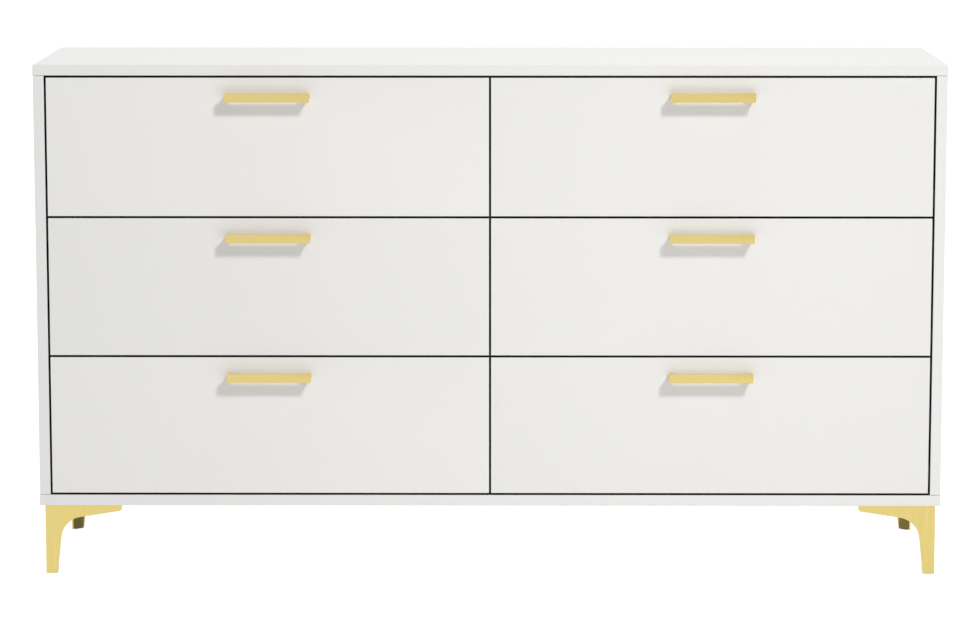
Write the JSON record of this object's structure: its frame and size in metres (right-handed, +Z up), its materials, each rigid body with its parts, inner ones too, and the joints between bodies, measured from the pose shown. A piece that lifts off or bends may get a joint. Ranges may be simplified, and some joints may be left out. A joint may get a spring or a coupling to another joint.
{
  "type": "dresser with drawers",
  "caption": "Low, wide dresser: flush slab drawers in columns inside a plain box case, with U-shaped bar pulls and L-section sheet metal corner legs.",
  "frame": {"origin": "on the floor, under the centre of the whole object's box, pulls included", "axes": "+X along the length, +Y from the drawers to the back, +Z up; the drawers open towards -Y"},
  "size_m": [1.5, 0.428, 0.852],
  "materials": {
    "white_lacquer": "satin white lacquer on board",
    "drawer_board": "off-white foil on board",
    "back_board": "painted hardboard",
    "gold_metal": "satin gold coat",
    "slide_steel": "white epoxy coat",
    "strip_plastic": "white, matt",
    "roller_plastic": "nylon",
    "screw_steel": "zinc plated",
    "foot_plastic": "brown moulded foot inserts",
    "black_rubber": "matt"
  },
  "bodies": {
    "case": {"top_panel": "white_lacquer", "bottom_panel": "white_lacquer", "left_side_panel": "white_lacquer", "right_side_panel": "white_lacquer", "center_divider": "white_lacquer", "back_panel_left": "back_board", "back_panel_right": "back_board", "back_joint_strip": "strip_plastic", "front_left_leg": "gold_metal", "front_right_leg": "gold_metal", "back_left_leg": "gold_metal", "back_right_leg": "gold_metal", "bottom_left_bay_left_rail": "slide_steel", "bottom_left_bay_right_rail": "slide_steel", "bottom_right_bay_left_rail": "slide_steel", "bottom_right_bay_right_rail": "slide_steel", "middle_left_bay_left_rail": "slide_steel", "middle_left_bay_right_rail": "slide_steel", "middle_right_bay_left_rail": "slide_steel", "middle_right_bay_right_rail": "slide_steel", "top_left_bay_left_rail": "slide_steel", "top_left_bay_right_rail": "slide_steel", "top_right_bay_left_rail": "slide_steel", "top_right_bay_right_rail": "slide_steel"},
    "bottom_left_drawer": {"bottom_left_drawer_front": "white_lacquer", "bottom_left_drawer_left_side": "drawer_board", "bottom_left_drawer_right_side": "drawer_board", "bottom_left_drawer_back": "drawer_board", "bottom_left_drawer_bottom": "back_board", "bottom_left_handle": "gold_metal"},
    "bottom_right_drawer": {"bottom_right_drawer_front": "white_lacquer", "bottom_right_drawer_left_side": "drawer_board", "bottom_right_drawer_right_side": "drawer_board", "bottom_right_drawer_back": "drawer_board", "bottom_right_drawer_bottom": "back_board", "bottom_right_handle": "gold_metal"},
    "middle_left_drawer": {"middle_left_drawer_front": "white_lacquer", "middle_left_drawer_left_side": "drawer_board", "middle_left_drawer_right_side": "drawer_board", "middle_left_drawer_back": "drawer_board", "middle_left_drawer_bottom": "back_board", "middle_left_handle": "gold_metal"},
    "middle_right_drawer": {"middle_right_drawer_front": "white_lacquer", "middle_right_drawer_left_side": "drawer_board", "middle_right_drawer_right_side": "drawer_board", "middle_right_drawer_back": "drawer_board", "middle_right_drawer_bottom": "back_board", "middle_right_handle": "gold_metal"},
    "top_left_drawer": {"top_left_drawer_front": "white_lacquer", "top_left_drawer_left_side": "drawer_board", "top_left_drawer_right_side": "drawer_board", "top_left_drawer_back": "drawer_board", "top_left_drawer_bottom": "back_board", "top_left_handle": "gold_metal"},
    "top_right_drawer": {"top_right_drawer_front": "white_lacquer", "top_right_drawer_left_side": "drawer_board", "top_right_drawer_right_side": "drawer_board", "top_right_drawer_back": "drawer_board", "top_right_drawer_bottom": "back_board", "top_right_handle": "gold_metal"}
  },
  "joints": [
    {"name": "bottom_left_slide", "type": "slide", "parent": "case", "child": "bottom_left_drawer", "axis": [0, -1, 0], "range_m": [0, 0.26]},
    {"name": "bottom_right_slide", "type": "slide", "parent": "case", "child": "bottom_right_drawer", "axis": [0, -1, 0], "range_m": [0, 0.26]},
    {"name": "middle_left_slide", "type": "slide", "parent": "case", "child": "middle_left_drawer", "axis": [0, -1, 0], "range_m": [0, 0.26]},
    {"name": "middle_right_slide", "type": "slide", "parent": "case", "child": "middle_right_drawer", "axis": [0, -1, 0], "range_m": [0, 0.26]},
    {"name": "top_left_slide", "type": "slide", "parent": "case", "child": "top_left_drawer", "axis": [0, -1, 0], "range_m": [0, 0.26]},
    {"name": "top_right_slide", "type": "slide", "parent": "case", "child": "top_right_drawer", "axis": [0, -1, 0], "range_m": [0, 0.26]}
  ]
}
